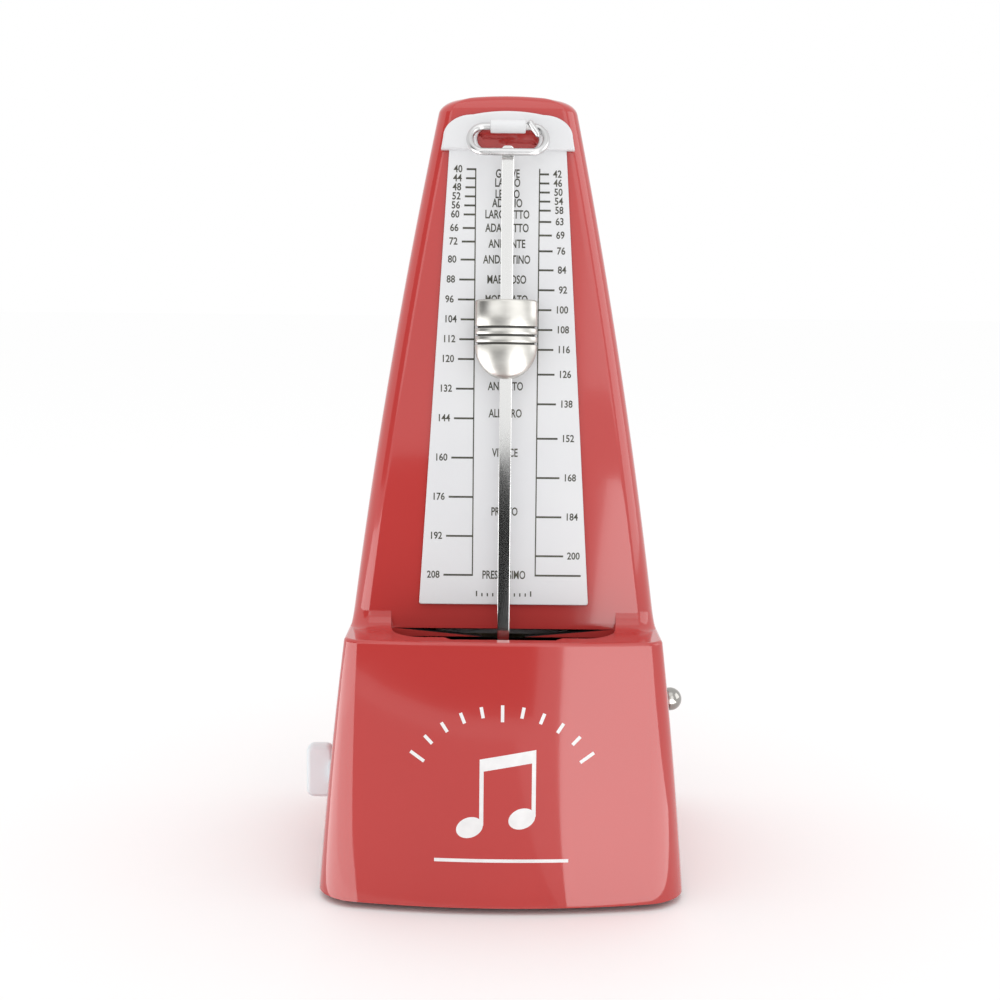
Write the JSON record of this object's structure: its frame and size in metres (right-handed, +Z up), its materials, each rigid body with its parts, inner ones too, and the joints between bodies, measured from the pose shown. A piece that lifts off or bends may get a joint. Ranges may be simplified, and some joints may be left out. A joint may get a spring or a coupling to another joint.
{
  "type": "wind-up pyramid metronome",
  "caption": "Pyramid-shaped wind-up metronome with a red case, a white tempo dial, a swinging rod with a sliding weight, a winding key and a beat selector knob.",
  "frame": {"origin": "middle of the footprint on the surface it stands on", "axes": "+Z up, front with the dial faces -Y, +X to the viewer's right"},
  "size_m": [0.1118, 0.1033, 0.2194],
  "materials": {
    "red_case": "polished red ABS",
    "black_base": "moulded black",
    "white_dial": "white moulding with printed scale",
    "white_key": "soft gloss white",
    "polished_steel": "polished",
    "movement_steel": "turned",
    "brass_bob": "cast and machined",
    "satin_nickel": "satin nickel plate over light alloy",
    "brass_frame": "brushed",
    "brass_wheels": "lapped",
    "blued_steel": "blued",
    "black_cams": "moulded",
    "polished_knob": "polished nickel",
    "bell_metal": "nickel plated",
    "screw_steel": "zinc plated",
    "rubber_feet": "matt"
  },
  "bodies": {
    "case": {"housing": "red_case", "rear_cover": "red_case", "rear_cover_screw_1": "screw_steel", "rear_cover_screw_2": "screw_steel", "rear_cover_screw_3": "screw_steel", "rear_cover_screw_4": "screw_steel", "base_plate": "black_base", "foot_1": "rubber_feet", "foot_2": "rubber_feet", "foot_3": "rubber_feet", "foot_4": "rubber_feet", "base_screw_1": "screw_steel", "base_screw_2": "screw_steel", "base_screw_3": "screw_steel", "base_screw_4": "screw_steel", "dial_plate": "white_dial", "movement_plate_left": "brass_frame", "movement_plate_right": "brass_frame", "pillar_1": "movement_steel", "pillar_2": "movement_steel", "pillar_3": "movement_steel", "pillar_4": "movement_steel", "front_bridge": "brass_frame", "rear_bridge": "brass_frame", "plate_screw_left_1": "screw_steel", "plate_screw_left_2": "screw_steel", "plate_screw_right_1": "screw_steel", "plate_screw_right_2": "screw_steel", "click_rivet": "brass_wheels", "click_spring": "movement_steel", "bell": "bell_metal", "bell_post": "movement_steel", "bell_nut": "brass_wheels"},
    "clip": {"pendulum_clip": "polished_steel"},
    "pendulum": {"pendulum_rod": "polished_steel", "pendulum_arbor": "movement_steel", "pallet_fork": "movement_steel", "pendulum_bob": "brass_bob"},
    "weight": {"sliding_weight": "satin_nickel", "weight_grip_spring": "movement_steel"},
    "winding": {"winding_arbor": "movement_steel", "ratchet_wheel": "movement_steel", "winding_key": "white_key"},
    "click": {"click": "movement_steel"},
    "barrel": {"spring_barrel": "brass_wheels", "barrel_cover": "brass_wheels", "mainspring": "blued_steel"},
    "intermediate": {"intermediate_arbor": "movement_steel", "intermediate_wheel": "brass_wheels", "beat_cams": "black_cams"},
    "escape": {"escape_arbor": "movement_steel", "escape_wheel": "brass_wheels"},
    "selector": {"selector_rod": "polished_steel", "selector_knob": "polished_knob"},
    "hammer": {"hammer_lever": "movement_steel"}
  },
  "joints": [
    {"name": "pendulum_swing", "type": "hinge", "parent": "case", "child": "pendulum", "pos_m": [0, -0.03595, 0.04442], "axis": [0, 0.9976, -0.0698], "range_deg": [-30, 30]},
    {"name": "weight_slide", "type": "slide", "parent": "pendulum", "child": "weight", "axis": [0, 0.0698, 0.9976], "range_m": [-0.077, 0.035]},
    {"name": "clip_hinge", "type": "hinge", "parent": "case", "child": "clip", "pos_m": [0, -0.02295, 0.21022], "axis": [-1, 0, 0], "range_deg": [0, 100]},
    {"name": "key_winding", "type": "hinge", "parent": "case", "child": "winding", "pos_m": [0, -0.0099, 0.0266], "axis": [1, 0, 0], "continuous": true},
    {"name": "click_swing", "type": "hinge", "parent": "case", "child": "click", "pos_m": [0, 0.0031, 0.0206], "axis": [1, 0, 0], "range_deg": [0, 25], "stiffness_Nm_per_rad": 0.001},
    {"name": "barrel_turn", "type": "hinge", "parent": "case", "child": "barrel", "pos_m": [0, -0.0099, 0.0266], "axis": [1, 0, 0], "continuous": true},
    {"name": "intermediate_turn", "type": "hinge", "parent": "case", "child": "intermediate", "pos_m": [0, -0.00436, 0.04436], "axis": [1, 0, 0], "continuous": true},
    {"name": "escape_turn", "type": "hinge", "parent": "case", "child": "escape", "pos_m": [0, -0.013, 0.056], "axis": [1, 0, 0], "continuous": true},
    {"name": "beat_selector", "type": "slide", "parent": "case", "child": "selector", "axis": [1, 0, 0], "range_m": [0, 0.0066]},
    {"name": "hammer_swing", "type": "hinge", "parent": "selector", "child": "hammer", "pos_m": [0, 0.008, 0.044], "axis": [-1, 0, 0], "range_deg": [0, 12], "stiffness_Nm_per_rad": 0.001}
  ],
  "couplings": [
    {"joint": "intermediate_turn", "follows": "escape_turn", "ratio": -0.20833},
    {"joint": "barrel_turn", "follows": "escape_turn", "ratio": 0.05}
  ]
}
